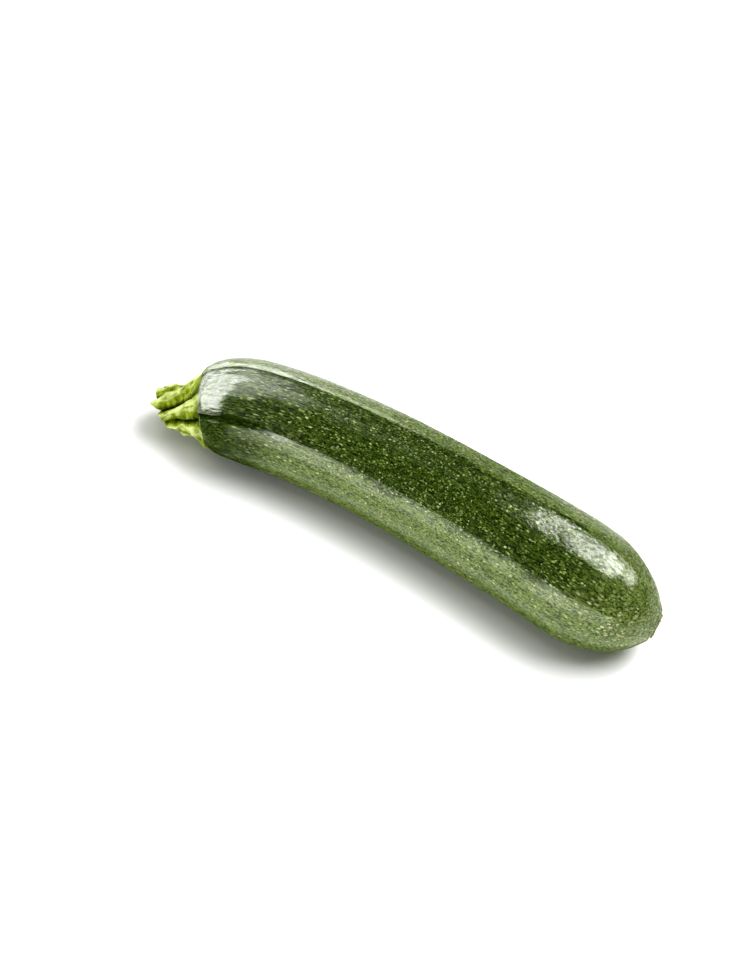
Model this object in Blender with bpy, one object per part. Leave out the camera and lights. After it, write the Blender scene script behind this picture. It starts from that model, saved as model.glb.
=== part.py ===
"""A zucchini as picked, lying on its side: the fruit, its cut stalk and its blossom scar.

Metres, +Z up. +X runs from the stalk to the blossom end and the fruit bows toward +Y.
The origin is the middle of the underside, on the surface that the fruit lies on.
"""

import math

import bmesh
import bpy
import numpy as np
from mathutils import Matrix, Vector

MM = 0.001
GAP = 0.3 * MM                    # clear space between two pieces

# The fruit's axis: how far it runs and how it turns, seen from above
BODY_LENGTH = 190.0 * MM
BASE_HEADING = 8.0                # degrees, from +X toward +Y
NECK_BEND = 33.0                  # extra heading at the stalk, which dies away along the neck
NECK_REACH = 18.5 * MM
BODY_BEND = 13.5                  # heading lost evenly along the whole fruit
SEAT_SKEW = 15.0                  # heading that the seat and the stalk lose against the neck
SEAT_DIP = 15.0                   # degrees that the stalk points below level
SKEW_REACH = 9.0 * MM
NOSE_TURN = 15.0                  # heading gained back over the blossom end
NOSE_DROOP = 10.0                 # degrees that the blossom end points below level

# The fruit's thickness
NECK_RADIUS = 20.2 * MM
BELLY_RADIUS = 22.0 * MM
BELLY_PLACE = 0.8                 # share of the length at which the fruit is thickest
SEAT_RADIUS = 13.2 * MM           # the flat end that carries the stalk
SHOULDER_LENGTH = 20.0 * MM
SHOULDER_POWER = 2.2
NOSE_LENGTH = 33.0 * MM
NOSE_POWER = 1.9
SCAR_SEAT = 5.0 * MM              # the small flat end that carries the blossom scar
SINK = 0.5 * MM                   # what the flat strip underneath takes off the radius

# The ribs: five main grooves with five shallow ones halfway between them
MAIN_GROOVES = 5
GROOVE_ANGLE = 54.0               # degrees, round from level on the -Y side and up
GROOVE_TWIST = -5.0               # degrees, from the stalk to the middle
GROOVE_DEPTH_SEAT = 0.050         # share of the radius
GROOVE_DEPTH_BODY = 0.013
GROOVE_FADE = 34.0 * MM
GROOVE_WIDTH = 0.24               # share of the way from a groove to the next crest
MINOR_SHARE = 0.35                # a shallow groove's depth beside a main one's

# The stalk: seven twisting ridges, each at its angle on the fruit and at the cut, with its strength
STALK_LENGTH = 17.5 * MM
RIDGES = ((188, 117, 0.95), (132, 70, 1.06), (69, 33, 1.0), (18, -5, 1.0),
          (-32, -52, 1.08), (-82, -108, 0.98), (-130, -170, 1.0))
CREASE = 0.72                     # where the hollow is deepest, as a share of the way to the next crest
BASE_CREST = 14.2 * MM
BASE_VALLEY = 10.2 * MM
CUT_CREST = 8.1 * MM
CUT_VALLEY = 5.7 * MM
CREST_FLARE = 1.6
VALLEY_FLARE = 2.0
CUT_SLANT = 0.22                  # how much longer the stub is on one side, over its width
SLANT_SIDE = 130.0                # degrees, the longer side
CUT_DISH = 0.5 * MM
CUT_INNER = 0.6                   # where the dish in the cut face levels out

# The blossom scar: a corky button with a raised rim, as (radius, height) from its base up
SCAR_PROFILE = ((4.7, 0.0), (5.0, 0.4), (4.9, 0.8), (4.4, 1.1), (3.7, 1.0), (2.8, 0.65), (1.4, 0.5))
SCAR_HOLLOW = 0.45 * MM
SCAR_WAVE = 0.05

# How finely the pieces are faceted
AROUND_FRUIT = 64
AROUND_STALK = 84
AROUND_SCAR = 36
SHOULDER_STEPS = 9
TRUNK_STEPS = 26
NOSE_STEPS = 13
STALK_STEPS = 12


def smooth(x):
    """Rises from 0 to 1 with level ends."""
    x = np.clip(x, 0.0, 1.0)
    return x * x * (3.0 - 2.0 * x)


def angles(count):
    return np.arange(count) * 2.0 * math.pi / count


def nose_share(s):
    """0 up to where the blossom end starts to round, 1 at its pole."""
    return np.clip((s - BODY_LENGTH + NOSE_LENGTH) / NOSE_LENGTH, 0.0, 1.0)


def trunk_radius(s):
    """The fruit's radius before its two ends are rounded."""
    rise = np.clip(s / (BODY_LENGTH * BELLY_PLACE), 0.0, 1.0) ** 1.5
    return NECK_RADIUS + (BELLY_RADIUS - NECK_RADIUS) * rise


def body_radius(s):
    """The trunk's radius, with a superellipse for the shoulder and another for the nose."""
    back = np.clip(1.0 - s / SHOULDER_LENGTH, 0.0, 1.0)
    shoulder = (1.0 - back ** SHOULDER_POWER) ** (1.0 / SHOULDER_POWER)
    radius = SEAT_RADIUS + (trunk_radius(s) - SEAT_RADIUS) * shoulder
    return radius * (1.0 - nose_share(s) ** NOSE_POWER) ** (1.0 / NOSE_POWER)


def tangent(s):
    """Which way the axis points at each length s."""
    ease = smooth(nose_share(s))
    skew = np.exp(-s / SKEW_REACH)
    heading = BASE_HEADING + NECK_BEND * np.exp(-s / NECK_REACH) - BODY_BEND * s / BODY_LENGTH
    heading = np.radians(heading - SEAT_SKEW * skew + NOSE_TURN * ease)
    climb = np.radians(SEAT_DIP * skew - NOSE_DROOP * ease)
    return np.stack((np.cos(climb) * np.cos(heading), np.cos(climb) * np.sin(heading), np.sin(climb)), -1)


def axis_points(s):
    """Where the axis is: the tangent added up along the length, with the trunk lying on z = 0."""
    fine = np.linspace(0.0, BODY_LENGTH, 1901)
    direction = tangent(fine)
    steps = (direction[1:] + direction[:-1]) / 2.0 * (fine[1] - fine[0])
    path = np.vstack((np.zeros(3), np.cumsum(steps, axis=0)))
    path[:, 2] -= path[len(fine) // 2, 2]
    points = np.stack([np.interp(s, fine, path[:, k]) for k in range(3)], -1)
    points[:, 2] += trunk_radius(s) - SINK
    return points


def cross_axes(s):
    """Two directions across the axis: level on the -Y side, and up."""
    along = tangent(s)
    side = np.cross(along, (0.0, 0.0, 1.0))
    side /= np.linalg.norm(side, axis=1)[:, None]
    return side, np.cross(side, along)


def rib_factor(s, phi):
    """What the grooves leave of the radius, at each length s and angle phi."""
    first = np.radians(GROOVE_ANGLE + GROOVE_TWIST * smooth(s / (BODY_LENGTH / 2.0)))
    depth = GROOVE_DEPTH_BODY + GROOVE_DEPTH_SEAT * np.exp(-s / GROOVE_FADE)
    depth = depth * (1.0 - 0.6 * nose_share(s))
    turns = (phi[None, :] - first[:, None]) * MAIN_GROOVES / (2.0 * math.pi)
    to_crest = 2.0 * np.abs(turns - np.round(turns))
    main = np.exp(-(to_crest / GROOVE_WIDTH) ** 2)
    minor = np.exp(-((1.0 - to_crest) / GROOVE_WIDTH) ** 2)
    lobe = 0.5 + 0.5 * np.cos(math.pi * to_crest)
    return 1.0 - depth[:, None] * (0.6 * main + 0.4 * lobe + MINOR_SHARE * minor)


def stations():
    """Lengths at which the fruit has a ring, closest where its ends turn in."""
    turn = np.linspace(0.0, math.pi / 2.0, SHOULDER_STEPS, endpoint=False)
    shoulder = SHOULDER_LENGTH * (1.0 - np.cos(turn) ** (2.0 / SHOULDER_POWER))
    trunk = np.linspace(SHOULDER_LENGTH, BODY_LENGTH - NOSE_LENGTH, TRUNK_STEPS, endpoint=False)
    last = math.acos((SCAR_SEAT / BELLY_RADIUS) ** (NOSE_POWER / 2.0))
    nose = NOSE_LENGTH * np.sin(np.linspace(0.0, last, NOSE_STEPS)) ** (2.0 / NOSE_POWER)
    return np.concatenate((shoulder, trunk, BODY_LENGTH - NOSE_LENGTH + nose))


def loft(name, rings, first_hub, last_hub, material):
    """Skins a row of rings, and closes each end with a fan of triangles to its hub."""
    bm = bmesh.new()
    loops = [[bm.verts.new(point) for point in ring] for ring in rings]
    for near, far in zip(loops, loops[1:]):
        for k in range(len(near)):
            bm.faces.new((near[k - 1], near[k], far[k], far[k - 1]))
    for loop, hub in ((loops[0], first_hub), (loops[-1], last_hub)):
        centre = bm.verts.new(hub)
        for k in range(len(loop)):
            bm.faces.new((loop[k - 1], loop[k], centre))
    bmesh.ops.recalc_face_normals(bm, faces=bm.faces)
    mesh = bpy.data.meshes.new(name)
    bm.to_mesh(mesh)
    bm.free()
    mesh.shade_smooth()
    mesh.set_sharp_from_angle(angle=math.radians(40.0))
    mesh.materials.append(material)
    piece = bpy.data.objects.new(name, mesh)
    bpy.context.scene.collection.objects.link(piece)
    return piece


def make_fruit(material):
    """The ribbed fruit, with a flat strip underneath where its weight lies."""
    s = stations()
    phi = angles(AROUND_FRUIT)
    centre = axis_points(s)
    side, up = cross_axes(s)
    radius = body_radius(s)[:, None] * rib_factor(s, phi)
    rings = (centre[:, None]
             + (radius * np.cos(phi))[:, :, None] * side[:, None]
             + (radius * np.sin(phi))[:, :, None] * up[:, None])
    rings[:, :, 2] = np.maximum(rings[:, :, 2], 0.0)
    return loft("fruit", rings, centre[0], centre[-1], material)


def ridge_height(phi, t):
    """1 on a strong crest. Each ridge falls off slowly to a crease, then rises fast to the next."""
    height = np.zeros((len(t), len(phi)))
    for (base, cut, strength), (base_2, cut_2, strength_2) in zip(RIDGES, RIDGES[1:] + RIDGES[:1]):
        crest = (base + (cut - base) * t)[:, None]
        gap = ((base - base_2) % 360 * (1.0 - t) + (cut - cut_2) % 360 * t)[:, None]
        share = (crest - np.degrees(phi)[None, :]) % 360.0 / gap
        slope = np.where(share < CREASE, share / CREASE, (1.0 - share) / (1.0 - CREASE))
        rise = (strength + (strength_2 - strength) * share) * (0.5 + 0.5 * np.cos(math.pi * slope))
        height += np.where(share < 1.0, rise, 0.0)
    return height


def make_stalk(material):
    """The cut stub, along its own +Z: flared onto the fruit, with a slanting, dished cut face."""
    t = np.linspace(0.0, 1.0, STALK_STEPS) ** 1.2
    phi = angles(AROUND_STALK)
    crest = CUT_CREST + (BASE_CREST - CUT_CREST) * (1.0 - t) ** CREST_FLARE
    valley = CUT_VALLEY + (BASE_VALLEY - CUT_VALLEY) * (1.0 - t) ** VALLEY_FLARE
    radius = valley[:, None] + (crest - valley)[:, None] * ridge_height(phi, t)
    slant = CUT_SLANT * (t ** 2)[:, None] * radius * np.cos(phi - math.radians(SLANT_SIDE))
    height = GAP + t[:, None] * STALK_LENGTH + slant
    rings = np.stack((radius * np.cos(phi), radius * np.sin(phi), height), -1)
    top = np.array((0.0, 0.0, GAP + STALK_LENGTH))
    inner = top + (rings[-1] - top) * CUT_INNER - (0.0, 0.0, 0.7 * CUT_DISH)
    rings = np.concatenate((rings, inner[None]))
    return loft("stalk", rings, (0.0, 0.0, GAP), top - (0.0, 0.0, CUT_DISH), material)


def make_scar(material):
    """The corky button at the blossom end, along its own +Z, with a slightly wavy rim."""
    phi = angles(AROUND_SCAR)
    wave = 1.0 + SCAR_WAVE * (np.sin(3.0 * phi + 1.0) + 0.6 * np.sin(5.0 * phi + 2.0))
    rings = []
    for radius, height in SCAR_PROFILE:
        reach = radius * MM * (wave if height else np.ones(AROUND_SCAR))
        rings.append(np.stack((reach * np.cos(phi), reach * np.sin(phi), GAP + height * MM * wave), -1))
    return loft("blossom_scar", rings, (0.0, 0.0, GAP), (0.0, 0.0, GAP + SCAR_HOLLOW), material)


def principled(name, colour, roughness):
    """A plain surface with one colour."""
    material = bpy.data.materials.new(name)
    material.use_nodes = True
    shader = material.node_tree.nodes["Principled BSDF"]
    shader.inputs["Base Color"].default_value = (*colour, 1.0)
    shader.inputs["Roughness"].default_value = roughness
    shader.inputs["Metallic"].default_value = 0.0
    material.diffuse_color = (*colour, 1.0)
    return material


def stand_on_end(piece, s, outward):
    """Turns a piece made along +Z to sit on the fruit's end at length s."""
    at = np.array([s])
    along = Vector(tangent(at)[0]) * outward
    side = Vector(cross_axes(at)[0][0])
    turn = Matrix((side, along.cross(side), along)).transposed()
    piece.location = axis_points(at)[0]
    piece.rotation_euler = turn.to_euler()


def put_origin_underneath(root, pieces):
    """Moves the whole so that the origin is the middle of its underside."""
    bpy.context.view_layer.update()
    points = np.array([piece.matrix_world @ vertex.co for piece in pieces for vertex in piece.data.vertices])
    low = points.min(axis=0)
    middle = (low + points.max(axis=0)) / 2.0
    root.location = (-middle[0], -middle[1], -low[2])


def main():
    for old in list(bpy.data.objects):
        bpy.data.objects.remove(old, do_unlink=True)
    fruit = make_fruit(principled("green_skin", (0.055, 0.095, 0.020), 0.35))
    stalk = make_stalk(principled("stalk_green", (0.420, 0.520, 0.130), 0.60))
    scar = make_scar(principled("cork_brown", (0.270, 0.230, 0.110), 0.80))
    stand_on_end(stalk, 0.0, -1.0)
    stand_on_end(scar, stations()[-1], 1.0)
    root = bpy.data.objects.new("zucchini", None)
    bpy.context.scene.collection.objects.link(root)
    for piece in (fruit, stalk, scar):
        piece.parent = root
    put_origin_underneath(root, (fruit, stalk, scar))


main()
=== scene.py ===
# A whole zucchini lying on its side: speckled green skin, a cut ridged stalk and a corky blossom scar.
import math

import bpy
import numpy as np
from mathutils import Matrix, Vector


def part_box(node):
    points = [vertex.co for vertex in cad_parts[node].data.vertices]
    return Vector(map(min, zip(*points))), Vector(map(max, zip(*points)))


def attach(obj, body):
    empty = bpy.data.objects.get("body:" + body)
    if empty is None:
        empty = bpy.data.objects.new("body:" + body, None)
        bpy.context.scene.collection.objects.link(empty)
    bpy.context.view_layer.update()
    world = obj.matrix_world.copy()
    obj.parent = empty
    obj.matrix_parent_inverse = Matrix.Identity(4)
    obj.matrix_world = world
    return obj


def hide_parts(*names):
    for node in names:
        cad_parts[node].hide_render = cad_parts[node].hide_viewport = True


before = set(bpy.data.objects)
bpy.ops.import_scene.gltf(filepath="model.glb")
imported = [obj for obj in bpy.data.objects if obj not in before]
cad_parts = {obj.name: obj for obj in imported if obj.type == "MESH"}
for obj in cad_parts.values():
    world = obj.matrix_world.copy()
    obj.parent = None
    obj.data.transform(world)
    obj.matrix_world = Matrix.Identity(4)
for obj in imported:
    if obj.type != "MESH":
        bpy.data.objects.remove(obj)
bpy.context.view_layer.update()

mm = 0.001
fullTurn = 2.0 * math.pi


# Small shapes of numbers

def smooth(x):  # 3x2 - 2x3 between 0 and 1, so it starts and ends level
    x = np.clip(x, 0.0, 1.0)
    return x * x * (3.0 - 2.0 * x)


def ramp(x, start, full):  # smooth, from 0 at start to 1 at full, either way round
    return smooth((x - start) / (full - start))


def bell(x, width):  # 1 at x = 0, falling off as exp(-(x / width)2)
    return np.exp(-(x / width) ** 2)


def ripple(along, around, wave):
    # a sum of sines that each run a random way, with whole turns around so that the seam closes
    draw = np.random.default_rng(wave["seed"])
    total = 0.0
    for _ in range(wave["count"]):
        pace = draw.uniform(-1.0, 1.0) * fullTurn / wave["length"]
        turns = draw.integers(-wave["turns"], wave["turns"] + 1)
        total = total + np.sin(along * pace + around * turns + draw.uniform(0.0, fullTurn))
    return total * wave["height"] / math.sqrt(wave["count"] / 2.0)


def closedSurface(name, rings, firstHub, lastHub, paint, **marks):
    # rings[i, j] is point j of ring i. Quads join neighbours, and a fan of triangles closes each end to its
    # hub. Where the sum of a . (b x c), six times the volume, comes out below 0, all faces are turned over.
    rows, columns = rings.shape[:2]
    points = np.concatenate((rings.reshape(-1, 3), [firstHub, lastHub]))
    here = np.arange(columns)
    there = np.roll(here, -1)
    start = np.arange(rows - 1)[:, None] * columns
    quads = np.stack((start + here, start + there, start + columns + there, start + columns + here), -1)
    quads = quads.reshape(-1, 4)
    last = (rows - 1) * columns
    fans = np.concatenate((
        np.stack((there, here, np.full(columns, rows * columns)), -1),
        np.stack((last + here, last + there, np.full(columns, rows * columns + 1)), -1)))
    triangles = np.concatenate((fans, quads[:, :3], quads[:, [0, 2, 3]]))
    a, b, c = (points[triangles[:, k]] for k in range(3))
    if (a * np.cross(b, c)).sum() < 0.0:
        quads, fans = quads[:, ::-1], fans[:, ::-1]

    mesh = bpy.data.meshes.new(name)
    mesh.vertices.add(len(points))
    mesh.vertices.foreach_set("co", points.astype(np.float32).ravel())
    corners = np.concatenate((quads.ravel(), fans.ravel())).astype(np.int32)
    counts = np.concatenate((np.full(len(quads), 4), np.full(len(fans), 3))).astype(np.int32)
    mesh.loops.add(len(corners))
    mesh.loops.foreach_set("vertex_index", corners)
    mesh.polygons.add(len(counts))
    mesh.polygons.foreach_set("loop_start", (np.cumsum(counts) - counts).astype(np.int32))
    mesh.update(calc_edges=True)
    mesh.shade_smooth()
    for mark, values in marks.items():  # a number or a vector for each point, for the paint to read
        hubs = np.stack((values[0].mean(0), values[-1].mean(0)))
        kind, field = ("FLOAT", "value") if values.ndim == 2 else ("FLOAT_VECTOR", "vector")
        attribute = mesh.attributes.new(mark, kind, "POINT")
        attribute.data.foreach_set(field, np.concatenate((values.ravel(), hubs.ravel())).astype(np.float32))
    mesh.materials.append(paint.material)
    piece = bpy.data.objects.new(name, mesh)
    bpy.context.scene.collection.objects.link(piece)
    print(f"{name}: {len(points)} points, {len(triangles)} triangles")
    return piece


# Shader maths

class Flow:  # a socket's value; sums, products and powers of flows add Math nodes
    def __init__(self, paint, socket):
        self.paint, self.socket = paint, socket

    def math(self, operation, *values):
        inputs = {f"i{k}": value for k, value in enumerate(values)}
        return self.paint.node("Math", {"operation": operation}, **inputs)

    def __add__(self, other):
        return self.math("ADD", self, other)

    def __radd__(self, other):
        return self.math("ADD", other, self)

    def __sub__(self, other):
        return self.math("SUBTRACT", self, other)

    def __rsub__(self, other):
        return self.math("SUBTRACT", other, self)

    def __mul__(self, other):
        return self.math("MULTIPLY", self, other)

    def __rmul__(self, other):
        return self.math("MULTIPLY", other, self)

    def __pow__(self, other):
        return self.math("POWER", self, other)

    def __abs__(self):
        return self.math("ABSOLUTE", self)


class Paint:  # a material with a Principled shader, and the nodes that feed it
    def __init__(self, name, **constants):
        self.material = bpy.data.materials.new(name)
        self.material.use_nodes = True
        self.tree = self.material.node_tree
        self.shader = self.tree.nodes["Principled BSDF"]
        for socket, value in constants.items():
            self.shader.inputs[socket.replace("_", " ")].default_value = value

    def feed(self, node, key, value):  # iN is input number N; any other key is a name, _ for a space
        if key[1:].isdigit():
            socket = node.inputs[int(key[1:])]
        else:
            socket = next(s for s in node.inputs if s.enabled and s.name == key.replace("_", " "))
        if isinstance(value, Flow):
            self.tree.links.new(value.socket, socket)
        elif socket.type == "RGBA":
            socket.default_value = (*value, 1.0)
        else:
            socket.default_value = value

    def node(self, kind, settings=None, output=0, **inputs):  # settings first, as they change the sockets
        node = self.tree.nodes.new("ShaderNode" + kind)
        for key, value in (settings or {}).items():
            setattr(node, key, value)
        for key, value in inputs.items():
            self.feed(node, key, value)
        shown = [s for s in node.outputs if s.enabled]
        return Flow(self, node.outputs[output] if isinstance(output, str) else shown[output])

    def mark(self, name, output="Fac"):  # a number, or a Vector, that the mesh carries at each point
        return self.node("Attribute", {"attribute_name": name}, output)

    def parts(self, vector):
        return [self.node("SeparateXYZ", None, axis, Vector=vector) for axis in "XYZ"]

    def stretch(self, vector, *scale):
        return self.node("VectorMath", {"operation": "MULTIPLY"}, i0=vector, i1=scale)

    def step(self, value, start, full):  # a smooth step from 0 at start to 1 at full, either way round
        settings = {"interpolation_type": "SMOOTHSTEP"}
        return self.node("MapRange", settings, Value=value, From_Min=start, From_Max=full)

    def warp(self, vector, size, reach):
        # moves each point by up to about half the reach, so that round marks don't stay round
        drift = self.node("TexNoise", None, "Color", Vector=vector, Scale=1.0 / size, Detail=2.0)
        return self.node("VectorMath", {"operation": "MULTIPLY_ADD"}, i0=drift, i1=(reach,) * 3, i2=vector)

    def noise(self, vector, size, detail=2.0, rough=0.5, twist=0.0):
        return self.node("TexNoise", None, "Fac", Vector=vector, Scale=1.0 / size, Detail=detail,
                         Roughness=rough, Distortion=twist)

    def cells(self, vector, size, output="Distance"):
        return self.node("TexVoronoi", None, output, Vector=vector, Scale=1.0 / size, Randomness=1.0)

    def mix(self, mask, low, high):
        return self.node("Mix", {"data_type": "RGBA"}, Factor=mask, A=low, B=high)

    def finish(self, height=None, covers=(), **sockets):  # height is in millimetres
        if height is not None:
            sockets["Normal"] = self.node("Bump", None, "Normal", Height=height, Distance=mm, Strength=1.0)
        for key, value in sockets.items():
            self.feed(self.shader, key, value)
        surface = Flow(self, self.shader.outputs["BSDF"])
        for mask, constants in covers:  # each has other constants, and takes over where its mask is 1
            cover = self.node("BsdfPrincipled", None, "BSDF", **{**sockets, **constants})
            surface = self.node("MixShader", i0=mask, i1=surface, i2=cover)
        self.tree.links.new(surface.socket, self.tree.nodes["Material Output"].inputs["Surface"])
        return self


mattCover = {"Roughness": 1.0, "Specular_IOR_Level": 0.0}


# The fruit: a bent, ribbed body of revolution, flattened a little underneath where its weight lies

fruitForm = {  # mm and degrees
    "length": 190.0, "heading": 8.0, "neckBend": 33.0, "neckReach": 18.5, "bodyBend": 13.5,
    "seatSkew": 15.0, "seatDip": 15.0, "skewReach": 9.0, "noseTurn": 15.0, "noseDroop": 10.0,
    "axisSteps": 1900, "neckRadius": 20.2, "bellyRadius": 22.0, "bellyPlace": 0.8, "bellyPower": 1.5,
    "seatRadius": 13.2, "shoulderLength": 20.0, "shoulderPower": 2.2,
    "noseLength": 33.0, "nosePower": 1.9, "scarSeat": 5.0, "sink": 0.5,
    "grooves": (47.0, 111.0, 192.0, 262.0, 340.0), "grooveDrift": 2.0,  # and their turn by the middle
    "grooveDepth": 0.040, "grooveWidth": 0.24, "grooveShare": 0.6, "minorShare": 0.35,
    "grooveFades": (22.0, 60.0, 26.0, 26.0, 26.0), "grooveStrengths": (1.0, 0.35, 1.0, 1.0, 1.0),
    # flat strips with soft edges further on
    "facetDepth": 0.017, "minorFacet": 0.45, "facetStart": 42.0, "facetPower": 2.2, "facetRest": 0.35,
    # a ledge at the start of each groove, steep above it, and the swelling over each
    "creaseDepth": 1.6, "creaseWidths": (0.40, 10.0), "creaseFade": 8.5,
    "bulge": 0.6, "bulgeAway": 0.6, "bulgeWidths": (4.0, 0.6),
    # the skin's edges under the stalk and under the scar, and its collar round the scar
    "seatInner": 0.5, "endInner": 0.2, "collar": 0.5, "collarRadius": 6.3, "collarWidth": 1.4,
    "collarStart": (4.6, 5.5),
    "sag": {"seed": 4, "count": 9, "length": 60.0, "turns": 3, "height": 0.10},
    "dents": {"seed": 9, "count": 24, "length": 14.0, "turns": 9, "height": 0.026}, "unevenStart": 12.0,
    "rows": {"seat": 8, "shoulder": 60, "trunk": 250, "nose": 76, "end": 7}, "columns": 240,
}


def noseShare(s):  # 0 up to where the blossom end starts to round, 1 at its pole
    return np.clip((s - fruitForm["length"] + fruitForm["noseLength"]) / fruitForm["noseLength"], 0.0, 1.0)


def trunkRadius(s):  # neck + (belly - neck) * share of the way to the thickest place, to a power
    f = fruitForm
    share = np.clip(s / (f["length"] * f["bellyPlace"]), 0.0, 1.0)
    return f["neckRadius"] + (f["bellyRadius"] - f["neckRadius"]) * share ** f["bellyPower"]


def bodyRadius(s):  # the trunk's radius with a superellipse at each end: (1 - back^p)^(1/p)
    f = fruitForm
    back = np.clip(1.0 - s / f["shoulderLength"], 0.0, 1.0)
    shoulder = (1.0 - back ** f["shoulderPower"]) ** (1.0 / f["shoulderPower"])
    radius = f["seatRadius"] + (trunkRadius(s) - f["seatRadius"]) * shoulder
    return radius * (1.0 - noseShare(s) ** f["nosePower"]) ** (1.0 / f["nosePower"])


def tangent(s):  # heading and climb at length s, turned into a unit vector
    f = fruitForm
    ease = smooth(noseShare(s))
    skew = np.exp(-s / f["skewReach"])
    heading = f["heading"] + f["neckBend"] * np.exp(-s / f["neckReach"]) - f["bodyBend"] * s / f["length"]
    heading = np.radians(heading - f["seatSkew"] * skew + f["noseTurn"] * ease)
    climb = np.radians(f["seatDip"] * skew - f["noseDroop"] * ease)
    return np.stack((np.cos(climb) * np.cos(heading), np.cos(climb) * np.sin(heading), np.sin(climb)), -1)


def axisPoints(s):  # the tangent added up along the length, at the height that lays the trunk on z = 0
    fine = np.linspace(0.0, fruitForm["length"], fruitForm["axisSteps"] + 1)
    way = tangent(fine)
    steps = (way[1:] + way[:-1]) / 2.0 * (fine[1] - fine[0])
    path = np.vstack((np.zeros(3), np.cumsum(steps, axis=0)))
    path[:, 2] -= path[len(fine) // 2, 2]
    points = np.stack([np.interp(s, fine, path[:, k]) for k in range(3)], -1)
    points[..., 2] += trunkRadius(s) - fruitForm["sink"]
    return points


def crossAxes(s):  # across the axis: level on the -Y side, and up
    along = tangent(s)
    side = np.cross(along, (0.0, 0.0, 1.0))
    side = side / np.linalg.norm(side, axis=-1, keepdims=True)
    return side, np.cross(side, along)


def sectorPlace(s, phi):  # counts the main grooves round the fruit: whole in a groove, and even between two
    f = fruitForm
    angles = np.array(f["grooves"])
    angles = np.concatenate((angles[-1:] - 360.0, angles, angles[:1] + 360.0))
    turned = np.degrees(phi) % 360.0 - f["grooveDrift"] * smooth(s / (f["length"] / 2.0))
    return np.interp(turned, angles, np.arange(len(angles)) - 1.0)


def grooveArc(s, phi):  # mm round the skin from the nearest main groove, more than 0 above it
    place = sectorPlace(s, phi)
    return (place - np.round(place)) * fullTurn / len(fruitForm["grooves"]) * bodyRadius(s)


def perGroove(place, values):  # a value for each groove or ridge, in a straight line from one to the next
    count = len(values)
    return np.interp(place % count, np.arange(count + 1.0), values + values[:1])


def ribFactor(s, phi):
    # 1 - grooves + edges. Near the seat: a bell in each main groove, a broad lobe, and a shallow groove
    # between two, which fade along the fruit. Further on: |2 share - 1|^power, a low edge where each groove
    # was, with a flat between.
    f = fruitForm
    place = sectorPlace(s, phi)
    share = 2.0 * np.abs(place - np.round(place))
    lobe = 0.5 + 0.5 * np.cos(math.pi * share)
    groove = f["grooveShare"] * bell(share, f["grooveWidth"]) + (1.0 - f["grooveShare"]) * lobe
    groove = groove + f["minorShare"] * bell(1.0 - share, f["grooveWidth"])
    weight = np.where(share < 0.5, 1.0, f["minorFacet"])
    edge = weight * np.abs(2.0 * share - 1.0) ** f["facetPower"] - f["facetRest"]
    edge = f["facetDepth"] * smooth(s / f["facetStart"]) * edge * (1.0 - noseShare(s) ** 2)
    depth = f["grooveDepth"] * perGroove(place, f["grooveStrengths"])
    return 1.0 - depth * np.exp(-s / perGroove(place, f["grooveFades"])) * groove + edge


def fruitRadius(s, phi):  # the ribbed radius + (swelling - notch) at each groove's start + dents
    f = fruitForm
    arc = grooveArc(s, phi)
    above, below = f["creaseWidths"]
    notch = f["creaseDepth"] * bell(arc, np.where(arc > 0.0, above, below))
    upward, downward = f["bulgeWidths"]
    past = arc - f["bulgeAway"]
    bulge = f["bulge"] * np.where(past > 0.0, np.exp(-past / upward), bell(past, downward))
    strength = perGroove(sectorPlace(s, phi), f["grooveStrengths"])
    ledge = (bulge - notch) * np.exp(-s / f["creaseFade"]) * strength
    uneven = ripple(s, phi, f["sag"]) + ripple(s, phi, f["dents"])
    uneven = uneven * smooth(s / f["unevenStart"]) * (1.0 - noseShare(s) ** 3)
    return bodyRadius(s) * ribFactor(s, phi) + ledge + uneven


def fruitPoints(s, phi, radius):  # centre + radius * (cos phi * side + sin phi * up)
    side, up = crossAxes(s)
    return axisPoints(s) + (radius * np.cos(phi))[..., None] * side + (radius * np.sin(phi))[..., None] * up


def fruitRows():  # length and share of the radius for each ring, from under the stalk to under the scar
    f, rows = fruitForm, fruitForm["rows"]
    turn = np.linspace(0.0, math.pi / 2.0, rows["shoulder"], endpoint=False)
    shoulder = f["shoulderLength"] * (1.0 - np.cos(turn) ** (2.0 / f["shoulderPower"]))
    trunk = np.linspace(f["shoulderLength"], f["length"] - f["noseLength"], rows["trunk"], endpoint=False)
    lastTurn = math.acos((f["scarSeat"] / f["bellyRadius"]) ** (f["nosePower"] / 2.0))
    nose = f["noseLength"] * np.sin(np.linspace(0.0, lastTurn, rows["nose"])) ** (2.0 / f["nosePower"])
    s = np.concatenate((shoulder, trunk, f["length"] - f["noseLength"] + nose))
    s = np.concatenate((np.zeros(rows["seat"]), s, np.full(rows["end"], s[-1])))
    share = np.ones(len(s))
    share[:rows["seat"]] = np.linspace(f["seatInner"], 1.0, rows["seat"], endpoint=False)
    share[-rows["end"]:] = np.linspace(1.0, f["endInner"], rows["end"] + 1)[1:]
    return s, share


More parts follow.
